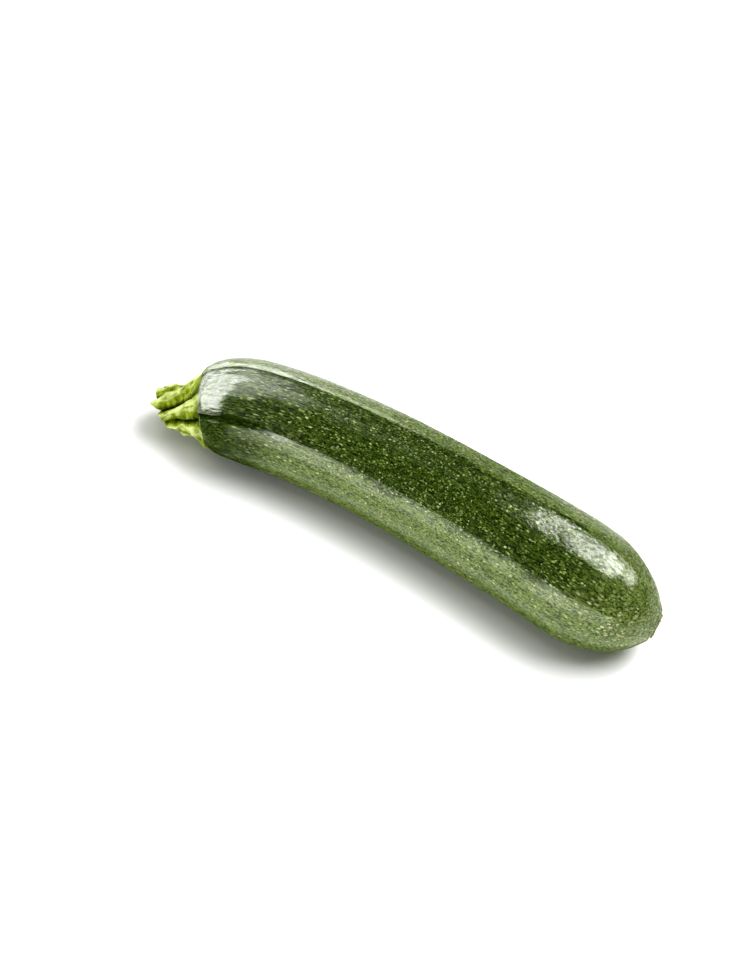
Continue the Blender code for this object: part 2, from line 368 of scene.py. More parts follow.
skinLook = {  # sizes in mm, colours as linear light; a Range is where a step is 0 and where it is 1
    # fresh is partly the skin's own paler stripes and partly a painted milky sheen
    "deep": (0.010, 0.024, 0.001), "green": (0.078, 0.124, 0.010), "paleStripeAndSheen": (0.240, 0.320, 0.088),
    "line": (0.170, 0.240, 0.050), "fleck": (0.320, 0.410, 0.140), "dot": (0.520, 0.600, 0.310),
    # groove is the colour of the painted shade in the grooves
    "groove": (0.006, 0.014, 0.003), "rim": (0.50, 0.56, 0.30), "scuff": (0.66, 0.64, 0.42),
    # rim is a painted highlight round the seat's edge, and also the pale streaks' own colour
    "draw": (0.26, 0.54), "drawReach": 130.0,  # the pattern's scale along the fruit, first and later
    "mottleSize": 0.50, "mottleShare": 0.6, "fibreSize": 0.50, "fibreDraw": 0.25,
    "blotchSize": 14.0, "blotchShare": 0.6, "nosePale": 0.95, "paleRange": (0.1, 0.95),
    "groundRange": (0.42, 0.60), "paleGround": 0.85, "paleLeast": 0.12,
    "netSize": 1.3, "netRange": (0.045, 0.005), "netGapRange": (0.44, 0.60), "netShare": 0.6,
    "bendSize": 0.9, "bendReach": 0.7, "crowdSize": 4.0, "crowdRange": (0.30, 0.62),
    "fleckSize": 0.75, "fleckSpread": 0.24, "fleckRange": (0.34, 0.12),
    "fleckNose": 0.3, "fleckSeatLoss": 0.7,
    "dotSize": 1.2, "dotSpread": 0.16, "dotRange": (0.22, 0.08),
    "dotBright": 0.9, "dotPale": 0.10, "dotLeast": 0.04,
    "scuffSpread": 0.2, "scuffRange": (0.34, 0.20), "scuffChance": (0.50, 0.60), "scuffShare": 0.75,
    "creaseShadeDark": 0.5, "paintedShadeDark": 0.25, "grooveShadeShare": 0.95,
    "pitSize": 1.3, "pitDraw": 0.8, "pitRange": (0.40, 0.85), "pitDepth": 0.04, "mottleHeight": 0.004,
    "swellSize": 3.5, "swellHeight": 0.03,
    "mattSize": 1.1, "mattRange": (0.45, 0.57), "mattTop": 0.38, "mattLeast": 0.12,
    "threadSize": 0.9, "threadDraw": 0.10, "threadHeight": 0.10,
    "threadRange": (0.44, 0.62), "threadMatt": 0.38,
    "roughness": 0.16, "roughChange": 0.10, "gloss": 0.62, "waxIor": 2.2,
}


def makeSkinPaint():
    look = skinLook
    p = Paint("waxySkin", Roughness=look["roughness"], Specular_IOR_Level=look["gloss"])
    skin, grain = p.mark("skin", "Vector"), p.mark("grain", "Vector")
    seat, nose, notch = p.mark("seat"), p.mark("nose"), p.mark("notch")
    shade, crease = p.mark("shade"), p.mark("crease")

    # a fine ground of dark and green, paler from one groove to the next, partly the skin's own paler
    # stripes and partly a painted milky sheen, under a thin net
    fibre = p.noise(p.stretch(grain, look["fibreDraw"], 1.0, 1.0), look["fibreSize"], 3.0, 0.6)
    mottle = p.noise(grain, look["mottleSize"], 3.0, 0.65)
    ground = mottle * look["mottleShare"] + fibre * (1.0 - look["mottleShare"])
    ground = p.step(ground, *look["groundRange"])
    base = p.mix(ground, look["deep"], look["green"])
    blotch = p.noise(skin, look["blotchSize"], 2.0)
    pale = p.mark("tone") + (blotch - 0.5) * look["blotchShare"] + nose * look["nosePale"]
    pale = p.step(pale, *look["paleRange"])
    base = p.mix(pale * (ground * look["paleGround"] + look["paleLeast"]), base, look["paleStripeAndSheen"])
    net = p.step(abs(p.noise(grain, look["netSize"], 2.0, 0.6, 0.4) - 0.5), *look["netRange"])
    base = p.mix(net * p.step(fibre, *look["netGapRange"]) * look["netShare"], base, look["line"])

    # small flecks and sparser dots, each with its own size and brightness, thinning out toward the stalk
    bent = p.warp(grain, look["bendSize"], look["bendReach"])
    crowd = p.step(p.noise(grain, look["crowdSize"], 2.0, 0.5), *look["crowdRange"])
    chance = p.parts(p.cells(bent, look["fleckSize"], "Color"))
    flecks = p.cells(bent, look["fleckSize"]) - chance[0] * look["fleckSpread"]
    flecks = p.step(flecks, *look["fleckRange"]) * crowd * (chance[1] + nose * look["fleckNose"])
    base = p.mix(flecks * (1.0 - seat * look["fleckSeatLoss"]), base, look["fleck"])
    chance = p.parts(p.cells(bent, look["dotSize"], "Color"))
    away = p.cells(bent, look["dotSize"])
    dots = p.step(away - chance[0] * look["dotSpread"], *look["dotRange"])
    bright = chance[1] * chance[1] * look["dotBright"] + pale * look["dotPale"] + look["dotLeast"]
    base = p.mix(dots * bright * (1.0 - seat), base, look["dot"])

    # the scuffed patch, painted shade in the skin's deep colour under each groove's ledge and in the matt
    # zones, painted shade as a dark line in each groove, and a painted highlight on the rim round the seat
    # with the ridges' pale streaks
    grazes = p.step(away - chance[0] * look["scuffSpread"], *look["scuffRange"])
    grazes = grazes * p.step(chance[2], *look["scuffChance"])
    base = p.mix(p.mark("scuff") * grazes * look["scuffShare"], base, look["scuff"])
    base = p.mix(crease * look["creaseShadeDark"] + shade * look["paintedShadeDark"], base, look["deep"])
    base = p.mix(notch * look["grooveShadeShare"], base, look["groove"])
    base = p.mix(p.mark("rim"), base, look["rim"])

    # shallow bumps, and a shine broken up by matt spots and threads
    pits = p.noise(p.stretch(grain, look["pitDraw"], 1.0, 1.0), look["pitSize"], 1.0, 0.4)
    pits = p.step(pits, *look["pitRange"])
    threads = p.noise(p.stretch(skin, look["threadDraw"], 1.0, 1.0), look["threadSize"], 2.0, 0.5)
    height = p.noise(skin, look["swellSize"], 1.0) * look["swellHeight"] - pits * look["pitDepth"]
    height = height + mottle * look["mottleHeight"] + threads * seat * look["threadHeight"]
    spots = p.step(p.noise(bent, look["mattSize"], 3.0, 0.6), *look["mattRange"])
    spots = spots * (p.mark("top") * look["mattTop"] + look["mattLeast"])
    matt = spots * (1.0 - seat) ** 2 + p.step(threads, *look["threadRange"]) * seat * look["threadMatt"]
    matt = matt + shade + crease + notch
    rough = mottle * look["roughChange"] + (look["roughness"] - look["roughChange"] / 2.0)
    covers = (p.mark("wax"), {"IOR": look["waxIor"]}), (matt, mattCover)
    return p.finish(height, covers, Base_Color=base, Roughness=rough)


skinPlaces = {  # mm along the fruit and degrees round it, -90 underneath and 90 on top
    # the tones are partly the skin's own paler stripes and partly a painted milky sheen
    "tones": (0.0, 1.0, 0.35, 0.6, 1.0),       # how pale the skin is from each groove to the next
    "leads": (0.20, 0.03, 0.10, 0.10, 0.15),   # how far before each groove the change begins, as a share
    "toneEdge": 0.03, "toneWave": {"seed": 17, "count": 12, "length": 16.0, "turns": 8, "height": 0.02},
    "toneStart": (8.0, 48.0), "backStart": (104.0, 114.0), "backShare": 0.9,
    # painted shade: a dark line in each groove, and a darker band under the foot of its ledge
    "lines": (1.0, 0.75, 0.8, 0.8, 0.8), "grooveShadeFades": (24.0, 45.0, 20.0, 20.0, 20.0),
    "grooveShadeWidths": (0.4, 0.8), "creaseWidth": 0.3, "creaseSpread": 1.8, "creaseOpens": (5.0, 12.0),
    "creaseEdge": 0.6, "creaseFoot": (-2.6, -1.4),
    # a painted highlight on the rim round the seat, and the pale streaks that run on from the ridges' feet
    "rimShare": 0.8, "rimPlace": 0.2, "rimWidth": 0.5, "rimAround": (46.0, 38.0), "rimSeat": (0.9, 1.0),
    "streakShare": 0.45, "streakWidth": 1.3, "streakFade": 2.4,
    "scuffPlace": (175.0, 40.0), "scuffSize": 9.0, "seatFade": 16.0, "noseRange": (150.0, 184.0),
    # zones, where each pair gives the place where the zone is 0 and the place where it is 1
    "top": {"around": ((52.0, 66.0), (262.0, 212.0))},                            # more matt spots
    "wax": {"around": ((38.0, 44.0), (175.0, 135.0)), "along": ((48.0, 26.0),)},  # a stronger shine
    # painted shade under each groove's ledge, near the neck
    "crease": {"around": ((70.0, 58.0), (0.0, 20.0)), "along": ((38.0, 20.0),)},
    # the matt zones also darken the colour as painted shade
    "matt": (  # a weaker shine: the front of the neck, underneath, the back and the middle of the top
        {"share": 0.8, "around": ((44.0, 35.0),), "fade": (8.0, 22.0)},
        {"share": 0.8, "around": ((12.0, -10.0),)},
        {"share": 1.0, "around": ((4.0, -12.0),), "along": ((48.0, 22.0),)},
        {"share": 0.6, "around": ((112.0, 126.0),), "bell": (108.0, 42.0)},
        {"share": 0.45, "around": ((98.0, 114.0),), "bell": (174.0, 13.0)},
        {"share": 0.4, "around": ((58.0, 72.0),), "along": ((50.0, 80.0), (134.0, 124.0))},
    ),
    "mattSides": ((200.0, 170.0), (-90.0, -50.0)),
}


def zoneShare(s, around, zone):
    # share * a ramp for each pair round and along * bell(s - middle) * exp(-(s - start) / length)
    share = zone.get("share", 1.0)
    for pair in zone["around"]:
        share = share * ramp(around, *pair)
    for pair in zone.get("along", ()):
        share = share * ramp(s, *pair)
    if "bell" in zone:
        middle, width = zone["bell"]
        share = share * bell(s - middle, width)
    if "fade" in zone:
        start, length = zone["fade"]
        share = share * np.exp(-np.maximum(s - start, 0.0) / length)
    return share


def bandTone(s, phi, around):
    # each band's tone, partly the skin's own paler stripes and partly a painted milky sheen, which a smooth
    # step changes to the next a little before each groove, on a wavy line; near the seat it fades out,
    # except at the back, where it stays as a painted sheen
    b = skinPlaces
    place = sectorPlace(s, phi) + ripple(s, phi, b["toneWave"])
    tones = np.array(b["tones"])
    here = np.round(place).astype(int) % len(tones)
    before, after, lead = tones[here - 1], tones[here], np.array(b["leads"])[here]
    tone = before + (after - before) * smooth((place - np.round(place) + lead) / (lead + b["toneEdge"]))
    return tone * np.maximum(ramp(s, *b["toneStart"]), b["backShare"] * ramp(around, *b["backStart"]))


def rimHighlightAndStreaks(s, phi, around, share, notch):
    # a painted highlight, a bell just past the seat, and the pale streaks: for each ridge of the stalk a
    # bell across times exp(-s / fade) along
    b = skinPlaces
    rim = b["rimShare"] * bell(s - b["rimPlace"], b["rimWidth"]) * ramp(share, *b["rimSeat"])
    rim = rim * (1.0 - notch) * ramp(around, *b["rimAround"])
    for crest, _, strength in stalkForm["ridges"]:
        off = np.radians((np.degrees(phi) - crest + 180.0) % 360.0 - 180.0) * bodyRadius(s)
        streak = strength * bell(off, b["streakWidth"]) * np.exp(-s / b["streakFade"])
        rim = rim + b["streakShare"] * streak * (share == 1.0)
    return rim


def skinMarks(s, phi, radius, share):
    # the numbers that the paint reads at each point, as products of ramps, bells and fades along and round
    b = skinPlaces
    around = (np.degrees(phi) + 90.0) % 360.0 - 90.0
    arc, place = grooveArc(s, phi), sectorPlace(s, phi)
    above, below = b["grooveShadeWidths"]
    notch = bell(arc, np.where(arc > 0.0, above, below)) * np.exp(-s / perGroove(place, b["grooveShadeFades"]))
    notch = notch * perGroove(place, b["lines"])
    shade = np.maximum.reduce([zoneShare(s, around, zone) for zone in b["matt"]])
    for pair in b["mattSides"]:
        shade = shade * ramp(around, *pair)
    wide = b["creaseWidth"] + b["creaseSpread"] * ramp(s, *b["creaseOpens"])
    crease = ramp(arc, wide, wide - b["creaseEdge"]) * ramp(arc, *b["creaseFoot"])
    along, turn = b["scuffPlace"]
    across = np.radians(np.degrees(phi) - turn) * radius
    return {
        "seat": np.exp(-s / b["seatFade"]), "nose": ramp(s, *b["noseRange"]),
        "scuff": bell(s - along, b["scuffSize"]) * bell(across, b["scuffSize"]),
        "notch": notch, "tone": bandTone(s, phi, around), "rim": rimHighlightAndStreaks(s, phi, around, share, notch),
        "shade": shade, "crease": crease * zoneShare(s, around, b["crease"]),
        "top": zoneShare(s, around, b["top"]), "wax": zoneShare(s, around, b["wax"])}


def makeFruit():
    # a ring of fruitRadius round the axis at each length, with a bell's height added round the scar; where
    # z would be below 0 it is 0
    f = fruitForm
    s, share = (row[:, None] for row in fruitRows())
    phi = (np.arange(f["columns"]) * fullTurn / f["columns"])[None, :]
    radius = fruitRadius(s, phi) * share
    s, phi = np.broadcast_to(s, radius.shape), np.broadcast_to(phi, radius.shape)
    collar = f["collar"] * bell(radius - f["collarRadius"], f["collarWidth"])
    collar = collar * ramp(radius, *f["collarStart"]) * (noseShare(s) > 0.0)
    rings = fruitPoints(s, phi, radius) + collar[..., None] * tangent(s)
    rings[..., 2] = np.maximum(rings[..., 2], 0.0)
    low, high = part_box("fruit")
    shift = (np.array(low) + np.array(high)) / 2.0 / mm - (rings.min((0, 1)) + rings.max((0, 1))) / 2.0
    shift[2] = 0.0
    rings = rings + shift

    skin = np.stack((s, radius * np.cos(phi), radius * np.sin(phi)), -1)
    first, later = skinLook["draw"]
    grain = skin.copy()
    grain[..., 0] *= first + (later - first) * smooth(s / skinLook["drawReach"])
    piece = closedSurface("zucchini_fruit", rings * mm, rings[0].mean(0) * mm, rings[-1].mean(0) * mm,
                          makeSkinPaint(), skin=skin, grain=grain, **skinMarks(s, phi, radius, share))
    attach(piece, "root")
    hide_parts("fruit")
    return piece, shift


# The stalk: a cut stub with seven twisting, overlapping ridges whose feet run out over the shoulder

stalkForm = {  # mm and degrees
    "length": 16.8, "gap": 0.3, "crease": 0.72, "crestPower": 0.85,
    # each ridge's angle at the foot, its angle at the cut and its strength
    "ridges": ((188, 117, 0.95), (132, 70, 1.06), (69, 33, 1.0), (14, -5, 1.0),
               (-36, -52, 1.08), (-82, -108, 1.0), (-130, -170, 1.0)),
    "tips": (0.4, 2.0, -0.2, -0.8, -0.4, 0.6, 0.2),     # how far each ridge stands past the cut
    "tipWidths": (0.33, 0.16),
    "reaches": (2.8, 2.8, 2.8, 3.0, 3.4, 3.0, 2.8),     # how far its foot runs out
    "swells": (0.0, 0.0, 0.0, 1.6, 3.4, 2.0, 0.0),      # and how much fuller it is near the seat
    "swellStart": 0.14, "swellPower": 0.6,
    "baseCrest": 14.2, "baseValley": 11.4, "cutCrest": 8.5, "cutValley": 5.7,
    "crestFlare": 2.8, "valleyFlare": 2.2,
    "cutSlant": 0.22, "slantSide": 130.0, "dish": 0.9, "edge": 0.9, "facePower": 0.8, "dishPower": 1.5,
    "faceInner": 0.03,
    "lean": 10.0, "leanStart": 0.2, "leanLoss": 0.4,    # crests lean over the creases
    "fold": 1.0, "foldWidth": 0.25, "foldStart": 0.15,
    "footSkirt": 0.9, "footPower": 3, "footThickness": 0.55, "footThinning": 1.5, "footSides": 0.4,
    "footSink": 0.15, "skinSpan": (0.002, 12.0), "skinSteps": 400, "slopeStep": 0.05,  # along the skin
    "wrinkle": {"seed": 21, "count": 22, "length": 2.3, "turns": 9, "height": 0.20}, "crestCalm": 0.4,
    "knobs": {"seed": 33, "count": 20, "length": 4.5, "turns": 13, "height": 0.42},
    "fibres": {"seed": 8, "count": 26, "length": 16.0, "turns": 34, "height": 0.16},
    "pits": {"seed": 5, "count": 14, "length": 2.0, "turns": 11, "height": 0.08},
    "bumpStart": 0.1, "seatBlend": 0.12, "patternRadius": 10.0,
    "rows": {"foot": 14, "wall": 110, "round": 10, "face": 26}, "rowPower": 1.2, "columnsPerRidge": 60,
}


def fruitMeridian(q):
    # length and radius at the distance q out over the seat's rim, adding up hypot(ds, dr) along the skin;
    # below 0 it is on the seat
    s = np.concatenate((np.zeros(1), np.geomspace(*stalkForm["skinSpan"], stalkForm["skinSteps"])))
    radius = bodyRadius(s)
    out = np.concatenate((np.zeros(1), np.cumsum(np.hypot(np.diff(s), np.diff(radius)))))
    length = np.interp(q, out, s)
    return length, np.where(q < 0.0, fruitForm["seatRadius"] + q, np.interp(q, out, radius))


def ridgeLines(t):
    # for each column of the wall, at each share t of its length: its angle, which turns from the foot to
    # the cut and leans over the crease, and its rise, strength * cos(90 degrees * slope)^power, where the
    # slope is 0 on a ridge and 1 in a crease
    f = stalkForm
    u = np.arange(len(f["ridges"]) * f["columnsPerRidge"]) / f["columnsPerRidge"]
    k = u.astype(int)
    share = u - k
    table = np.array(f["ridges"])
    following = np.roll(table, -1, axis=0)
    base = table[k, 0] - (table[k, 0] - following[k, 0]) % 360.0 * share
    cut = table[k, 1] - (table[k, 1] - following[k, 1]) % 360.0 * share
    slope = np.where(share < f["crease"], share / f["crease"], (1.0 - share) / (1.0 - f["crease"]))
    crest = np.cos(math.pi / 2.0 * slope) ** f["crestPower"]
    rise = (table[k, 2] + (following[k, 2] - table[k, 2]) * share) * crest
    tips = np.array(f["tips"])
    ahead, behind = f["tipWidths"]
    tip = tips[k] * bell(share, ahead) + np.roll(tips, -1)[k] * bell(1.0 - share, behind)
    lean = f["lean"] * (rise - 0.5) * smooth(t / f["leanStart"]) * (1.0 - f["leanLoss"] * t)
    return {"rise": rise, "crest": crest, "phi": np.radians(base + (cut - base) * t + lean),
            "fibre": np.radians(base), "tip": tip,
            "reach": perGroove(u, f["reaches"]), "swell": perGroove(u, f["swells"])}


def wallShape(t, lines):
    # radius: valley + (crest - valley) * rise - fold + swell + bumps, where crest and valley narrow toward
    # the cut as (1 - t)^flare. Height: gap + t * length + (slant + tip) * t2.
    f = stalkForm
    rise, fibre = lines["rise"], lines["fibre"]
    crest = f["cutCrest"] + (f["baseCrest"] - f["cutCrest"]) * (1.0 - t) ** f["crestFlare"]
    valley = f["cutValley"] + (f["baseValley"] - f["cutValley"]) * (1.0 - t) ** f["valleyFlare"]
    fold = f["fold"] * bell(rise, f["foldWidth"]) * smooth(t / f["foldStart"])
    swell = lines["swell"] * lines["crest"] * smooth(t / f["swellStart"]) * (1.0 - t) ** f["swellPower"]
    radius = valley + (crest - valley) * rise - fold + swell
    slant = f["cutSlant"] * radius * np.cos(lines["phi"] - math.radians(f["slantSide"]))
    height = f["gap"] + t * f["length"] + (slant + lines["tip"]) * t ** 2
    bumps = ripple(height, fibre, f["wrinkle"]) * (1.0 - f["crestCalm"] * rise)
    bumps = bumps + ripple(height, fibre, f["knobs"]) + ripple(height, fibre, f["fibres"])
    radius = radius + bumps * smooth(t / f["bumpStart"])
    # the seat's edge isn't quite round, and the stub follows it at its base
    edge = fruitRadius(np.zeros_like(lines["phi"]), lines["phi"]) / fruitForm["seatRadius"]
    return radius * (1.0 + (edge - 1.0) * np.exp(-t / f["seatBlend"])), height, edge[0]


def topShape(radius, height, fibre):
    # the top edge turns over in a quarter circle, and the cut face runs in to a dish, at the height
    # middle + (edge - middle) * inward^power
    f, rows = stalkForm, stalkForm["rows"]
    turn = np.linspace(0.0, math.pi / 2.0, rows["round"] + 1)[1:, None]
    roundRadius = radius - f["edge"] * (1.0 - np.cos(turn))
    roundHeight = height + f["edge"] * np.sin(turn)
    inward = (1.0 - np.linspace(0.0, 1.0, rows["face"] + 1)[1:] ** f["facePower"])[:, None]
    faceRadius = roundRadius[-1] * np.maximum(inward, f["faceInner"])
    middle = f["gap"] + f["length"] - f["dish"]
    faceHeight = middle + (roundHeight[-1] - middle) * inward ** f["dishPower"]
    faceHeight = faceHeight + ripple(faceRadius, fibre, f["pits"])
    face = np.concatenate((np.sin(turn), 2.0 - inward))  # 1 at the edge, 2 in the middle
    return np.concatenate((roundRadius, faceRadius)), np.concatenate((roundHeight, faceHeight)), face


def footShape(lines, start):
    # out from the wall's base over the seat and the shoulder, as go goes from 0 to 1: the fruit's own
    # meridian, lifted at right angles to it by thickness * (1 - go)^power, less a little where it sinks in
    f = stalkForm
    go = np.linspace(1.0, 0.0, f["rows"]["foot"] + 1)[:-1, None]
    q = start + go * (f["footSkirt"] + lines["reach"] * lines["rise"] ** f["footPower"] - start)
    s, ring = fruitMeridian(q)
    angle = lines["phi"][0] + np.zeros_like(q)
    ds, dr = (b - a for a, b in zip(fruitMeridian(q - f["slopeStep"]), fruitMeridian(q + f["slopeStep"])))
    long = np.hypot(ds, dr)
    lift = f["footThickness"] * (1.0 - go) ** f["footThinning"]
    lift = lift * (f["footSides"] + (1.0 - f["footSides"]) * lines["rise"]) - f["footSink"] * go
    ring = ring * fruitRadius(s, angle) / bodyRadius(s) + lift * ds / long
    return fruitPoints(s, angle, ring) - (lift * dr / long)[..., None] * tangent(s), start - q, go


def makeStalk(shift):
    # the foot's rings, then the wall, the rounded edge and the cut face, about the fruit's axis at length 0
    f = stalkForm
    t = (np.linspace(0.0, 1.0, f["rows"]["wall"]) ** f["rowPower"])[:, None]
    lines = ridgeLines(t)
    radius, height, edge = wallShape(t, lines)
    foot, footSpan, go = footShape(lines, radius[0] / edge - fruitForm["seatRadius"])
    topRadius, topHeight, topFace = topShape(radius[-1], height[-1], lines["fibre"])
    radius, height = np.concatenate((radius, topRadius)), np.concatenate((height, topHeight))
    phi = np.concatenate((lines["phi"], np.broadcast_to(lines["phi"][-1], topRadius.shape)))
    at = np.zeros(1)
    side, up = (v[0] for v in crossAxes(at))
    centre = axisPoints(at)[0] + shift
    wall = (centre + (radius * np.cos(phi))[..., None] * side + (radius * np.sin(phi))[..., None] * up
            - height[..., None] * tangent(at)[0])
    rings = np.concatenate((foot + shift, wall))

    span = np.concatenate((footSpan, height))
    flat = np.zeros_like(span)
    circle = [f["patternRadius"] * turn(lines["fibre"]) + flat for turn in (np.cos, np.sin)]
    reach = np.concatenate((-go, t, np.ones_like(topFace))) + flat
    face = np.concatenate((np.zeros_like(go), np.zeros_like(t), topFace)) + flat
    fine = np.stack((span, *circle), -1)
    crest = lines["crest"] + flat
    piece = closedSurface("zucchini_stalk", rings * mm, centre * mm, rings[-1].mean(0) * mm,
                          makeStalkPaint(), fine=fine, reach=reach, crest=crest, face=face)
    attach(piece, "root")
    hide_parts("stalk")
    return piece


stalkLook = {  # sizes in mm, colours as linear light; a Range is where a step is 0 and where it is 1
    # crest is a painted highlight along the ridges
    "crest": (0.68, 0.75, 0.33), "side": (0.235, 0.305, 0.003), "hollow": (0.078, 0.118, 0.003),
    # hollow, above, is painted shade toward the creases and on the foot, and also the dark bands' own
    # colour; crease is painted shade in the creases
    "crease": (0.040, 0.062, 0.003), "pale": (0.46, 0.54, 0.07), "pith": (0.42, 0.49, 0.14),
    "ring": (0.24, 0.32, 0.04),
    "threadSize": 0.8, "threadDraw": 0.28, "bandSize": 1.0, "bandDraw": 0.35, "patchSize": 2.6,
    "pithSize": 0.8, "pithRange": (0.4, 0.65), "faceRange": (0.4, 1.0),
    "sidePatches": 0.7, "sideRange": (0.60, 1.15), "paleRange": (0.50, 0.62), "paleShare": 0.55,
    "darkRange": (0.46, 0.36), "darkShare": 0.60,
    "crestThreads": 0.6, "crestPatches": 0.5, "crestHighlightRange": (1.34, 1.60), "crestHighlightShare": 0.85,
    "creaseShadeRange": (0.34, 0.08), "footShadeRange": (0.24, -0.04), "footSideRange": (0.95, 0.55),
    "footShade": (0.25, 0.40), "footMattRange": (0.10, -0.02), "footMatt": 0.9,
    "threadHeight": 0.25, "patchHeight": 0.25, "bandHeight": 0.30,
    "roughness": 0.42, "roughChange": 0.2, "gloss": 0.18,
}


def makeStalkPaint():
    look = stalkLook
    p = Paint("fibrousStalk", Roughness=look["roughness"], Specular_IOR_Level=look["gloss"])
    fine, reach, rise = p.mark("fine", "Vector"), p.mark("reach"), p.mark("crest")
    threads = p.noise(p.stretch(fine, look["threadDraw"], 1.0, 1.0), look["threadSize"], 3.0, 0.6)
    acrossRidges = p.stretch(fine, 1.0, look["bandDraw"], look["bandDraw"])
    bands = p.noise(acrossRidges, look["bandSize"], 3.0, 0.6)
    patches = p.noise(fine, look["patchSize"], 2.0)

    # painted shade from the creases, lighter out to the crests, with pale and dark bands across
    side = p.step(rise + patches * look["sidePatches"], *look["sideRange"])
    base = p.mix(side, look["hollow"], look["side"])
    base = p.mix(p.step(bands, *look["paleRange"]) * look["paleShare"], base, look["pale"])
    base = p.mix(p.step(bands, *look["darkRange"]) * look["darkShare"], base, look["hollow"])
    # a painted highlight along the crests
    crest = rise + threads * look["crestThreads"] + patches * look["crestPatches"]
    base = p.mix(p.step(crest, *look["crestHighlightRange"]) * look["crestHighlightShare"], base, look["crest"])
    base = p.mix(p.step(rise, *look["creaseShadeRange"]), base, look["crease"])

    # painted shade on the foot, and the cut face
    least, more = look["footShade"]
    foot = p.step(reach, *look["footShadeRange"]) * (p.step(rise, *look["footSideRange"]) * more + least)
    base = p.mix(foot, base, look["hollow"])
    pith = p.step(p.noise(fine, look["pithSize"], 3.0), *look["pithRange"])
    base = p.mix(p.step(p.mark("face"), *look["faceRange"]), base, p.mix(pith, look["ring"], look["pith"]))
    height = threads * look["threadHeight"] + patches * look["patchHeight"] + bands * look["bandHeight"]
    rough = patches * look["roughChange"] + (look["roughness"] - look["roughChange"] / 2.0)
    matt = p.step(reach, *look["footMattRange"]) * look["footMatt"]
    return p.finish(height, ((matt, mattCover),), Base_Color=base, Roughness=rough)


# The blossom scar: a corky button with a raised, uneven rim

scarForm = {  # mm
    # radius and height, from the base over the rim to the middle
    "profile": ((4.4, -0.3), (4.8, 0.1), (4.7, 0.4), (4.2, 0.6),
                (3.5, 0.5), (2.7, 0.2), (1.4, 0.05), (0.15, 0.0)),
    "gap": 0.3, "wave": 0.05, "waveStart": 0.3,
    "waves": ((3.0, 1.0, 1.0), (5.0, 0.6, 2.0)),  # sines round the rim: turns, share and start
    "crumble": {"seed": 12, "count": 22, "length": 1.3, "turns": 18, "height": 0.05},
    "crumbleRadius": 2.0, "crumbleHeight": 0.5, "rows": 60, "columns": 160,
}


def makeScar(shift):
    # the profile turned about the fruit's axis at its last ring, with the radius and the height each
    # * (1 + wave) + crumbs
    f = scarForm
    knots = np.array(f["profile"])
    place = np.linspace(0.0, len(knots) - 1.0, f["rows"])
    phi = (np.arange(f["columns"]) * fullTurn / f["columns"])[None, :]
    radius, height = (np.interp(place, np.arange(len(knots)), knots[:, k])[:, None] for k in range(2))
    wave = f["wave"] * sum(share * np.sin(turns * phi + start) for turns, share, start in f["waves"])
    crumble = ripple(place[:, None], phi, f["crumble"])
    reach = radius * (1.0 + wave * smooth(height / f["waveStart"]))
    reach = reach + crumble * smooth(radius / f["crumbleRadius"])
    top = f["gap"] + height * (1.0 + wave) + crumble * smooth(height / f["crumbleHeight"])
    at = fruitRows()[0][-1:]
    side = crossAxes(at)[0][0]
    out = tangent(at)[0]
    up = np.cross(out, side)
    centre = axisPoints(at)[0] + shift
    disc = np.stack((reach * np.cos(phi), reach * np.sin(phi), top), -1)
    rings = centre + disc[..., :1] * side + disc[..., 1:2] * up + disc[..., 2:] * out
    piece = closedSurface("zucchini_scar", rings * mm, centre * mm, rings[-1].mean(0) * mm,
                          makeScarPaint(), disc=disc)
    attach(piece, "root")
    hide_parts("blossom_scar")
    return piece


scarLook = {  # sizes in mm, colours as linear light
    "cork": (0.37, 0.32, 0.15), "dark": (0.15, 0.12, 0.048), "lip": (0.42, 0.44, 0.22), "roughness": 0.8,
    "crumbSize": 0.5, "cellSize": 0.9, "corkRange": (0.35, 0.65), "lipRange": (1.05, 0.7), "lipShare": 0.7,
    "crumbHeight": 0.15, "cellHeight": 0.10,
}


def makeScarPaint():
    look = scarLook
    p = Paint("corkyScar", Roughness=look["roughness"])
    disc = p.mark("disc", "Vector")
    crumbs = p.noise(disc, look["crumbSize"], 4.0, 0.65)
    base = p.mix(p.step(crumbs, *look["corkRange"]), look["dark"], look["cork"])
    lip = p.step(p.parts(disc)[2], *look["lipRange"]) * look["lipShare"]
    height = crumbs * look["crumbHeight"] + p.cells(disc, look["cellSize"]) * look["cellHeight"]
    return p.finish(height, Base_Color=p.mix(lip, base, look["lip"]))


# The studio: a white floor, soft lights and the camera

studio = {  # metres, degrees and millimetres of lens
    "floorSize": 6.0, "floorColour": (0.88, 0.88, 0.88), "floorRoughness": 0.9, "world": 0.10,
    "azimuth": 34.697, "elevation": 60.0, "distance": 0.978226, "lens": 100.0, "filmWidth": 36.0,
    "target": (-0.017373, -0.003717, 0.020), "contrast": "High Contrast",
}
